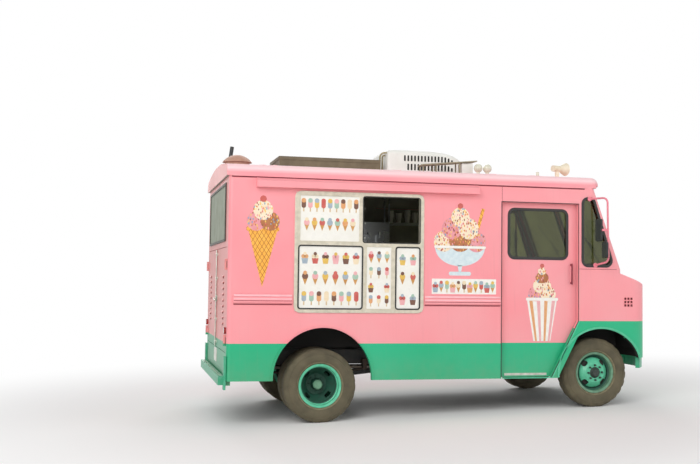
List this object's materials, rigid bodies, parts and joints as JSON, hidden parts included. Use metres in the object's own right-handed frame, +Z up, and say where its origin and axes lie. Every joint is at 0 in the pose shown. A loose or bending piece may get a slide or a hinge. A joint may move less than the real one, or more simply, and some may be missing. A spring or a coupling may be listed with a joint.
{
  "type": "ice cream truck",
  "caption": "Boxy walk-in ice cream truck with a serving window in its side, sliding cab doors, steered front wheels, twin rear wheels, opening hood and rear doors.",
  "frame": {"origin": "on the ground under the middle of the bounding box", "axes": "+X forward, +Y to the truck's left, +Z up"},
  "size_m": [4.9806, 2.67, 3.0395],
  "materials": {
    "body_paint": "gloss enamel, sprayed",
    "green_enamel": "brushed-on enamel",
    "wheel_enamel": "brushed-on enamel, chalky",
    "chassis_black": "dull chassis black",
    "engine_iron": "oily casting",
    "exhaust_steel": "heat-browned steel",
    "floor_plate": "scuffed tread plate",
    "clear_glass": "safety glass",
    "mill_aluminium": "mill finish",
    "white_board": "white laminate",
    "stainless": "brushed stainless steel",
    "seat_vinyl": "black vinyl",
    "cab_grey": "grey enamel",
    "wheel_plastic": "moulded black",
    "cream_plastic": "weathered moulding",
    "lamp_lens": "moulded lens",
    "tyre_rubber": "dusty rubber"
  },
  "bodies": {
    "truck": {"side_right": "body_paint", "side_left": "body_paint", "rear_wall": "body_paint", "cab_front": "body_paint", "nose": "body_paint", "roof": "body_paint", "window_hood": "body_paint", "mirrors": "body_paint", "bumpers": "green_enamel", "grille": "green_enamel", "chassis_frame": "chassis_black", "axles": "chassis_black", "springs": "chassis_black", "fuel_tank": "chassis_black", "engine": "engine_iron", "exhaust": "exhaust_steel", "floor": "floor_plate", "cab_glass": "clear_glass", "serving_window": "mill_aluminium", "roof_vents": "mill_aluminium", "menu_boards": "white_board", "counter": "stainless", "soft_serve_machine": "stainless", "driver_seat": "seat_vinyl", "dashboard": "cab_grey", "roof_ac": "cream_plastic", "horn_speaker": "cream_plastic", "lamps": "lamp_lens"},
    "knuckle_left": {"knuckle_left": "chassis_black"},
    "knuckle_right": {"knuckle_right": "chassis_black"},
    "tie_rod": {"tie_rod": "chassis_black"},
    "wheel_front_left": {"rim_front_left": "wheel_enamel", "tyre_front_left": "tyre_rubber"},
    "wheel_front_right": {"rim_front_right": "wheel_enamel", "tyre_front_right": "tyre_rubber"},
    "wheel_rear_left": {"rim_rear_left": "wheel_enamel", "tyre_rear_left": "tyre_rubber"},
    "wheel_rear_right": {"rim_rear_right": "wheel_enamel", "tyre_rear_right": "tyre_rubber"},
    "hood": {"hood": "body_paint"},
    "cab_door_left": {"cab_door_left": "body_paint", "door_glass_left": "clear_glass"},
    "cab_door_right": {"cab_door_right": "body_paint", "door_glass_right": "clear_glass"},
    "rear_door_left": {"rear_door_left": "body_paint"},
    "rear_door_right": {"rear_door_right": "body_paint"},
    "steering_wheel": {"steering_wheel": "wheel_plastic"}
  },
  "joints": [
    {"name": "steer_left", "type": "hinge", "parent": "truck", "child": "knuckle_left", "pos_m": [1.75344, 0.78, 0.385], "axis": [0, 0, 1], "range_deg": [-32, 32]},
    {"name": "steer_right", "type": "hinge", "parent": "truck", "child": "knuckle_right", "pos_m": [1.75344, -0.78, 0.385], "axis": [0, 0, 1], "range_deg": [-32, 32]},
    {"name": "tie_rod_pivot", "type": "hinge", "parent": "knuckle_left", "child": "tie_rod", "pos_m": [1.58344, 0.78, 0.284], "axis": [0, 0, 1], "range_deg": [-32, 32]},
    {"name": "steering_wheel_turn", "type": "hinge", "parent": "truck", "child": "steering_wheel", "pos_m": [1.30428, 0.52, 1.40925], "axis": [-0.7441, 0, 0.6681], "range_deg": [-512, 512]},
    {"name": "spin_front_left", "type": "hinge", "parent": "knuckle_left", "child": "wheel_front_left", "pos_m": [1.75344, 0.93, 0.385], "axis": [0, 1, 0], "continuous": true},
    {"name": "spin_front_right", "type": "hinge", "parent": "knuckle_right", "child": "wheel_front_right", "pos_m": [1.75344, -0.93, 0.385], "axis": [0, 1, 0], "continuous": true},
    {"name": "spin_rear_left", "type": "hinge", "parent": "truck", "child": "wheel_rear_left", "pos_m": [-1.42156, 0.842, 0.385], "axis": [0, 1, 0], "continuous": true},
    {"name": "spin_rear_right", "type": "hinge", "parent": "truck", "child": "wheel_rear_right", "pos_m": [-1.42156, -0.842, 0.385], "axis": [0, 1, 0], "continuous": true},
    {"name": "hood_hinge", "type": "hinge", "parent": "truck", "child": "hood", "pos_m": [2.10726, 0, 1.4846], "axis": [0, -1, 0], "range_deg": [0, 55]},
    {"name": "cab_door_left_slide", "type": "slide", "parent": "truck", "child": "cab_door_left", "axis": [-0.9994, 0, 0.0335], "range_m": [0, 0.8]},
    {"name": "cab_door_right_slide", "type": "slide", "parent": "truck", "child": "cab_door_right", "axis": [-0.9994, 0, 0.0335], "range_m": [0, 0.8]},
    {"name": "rear_door_left_hinge", "type": "hinge", "parent": "truck", "child": "rear_door_left", "pos_m": [-2.40269, 1.045, 1.23335], "axis": [-0.0335, 0, -0.9994], "range_deg": [0, 180]},
    {"name": "rear_door_right_hinge", "type": "hinge", "parent": "truck", "child": "rear_door_right", "pos_m": [-2.40269, -1.045, 1.23335], "axis": [0.0335, 0, 0.9994], "range_deg": [0, 180]}
  ],
  "couplings": [
    {"joint": "steer_right", "follows": "steer_left", "ratio": 1},
    {"joint": "tie_rod_pivot", "follows": "steer_left", "ratio": -1},
    {"joint": "steering_wheel_turn", "follows": "steer_left", "ratio": 16}
  ]
}
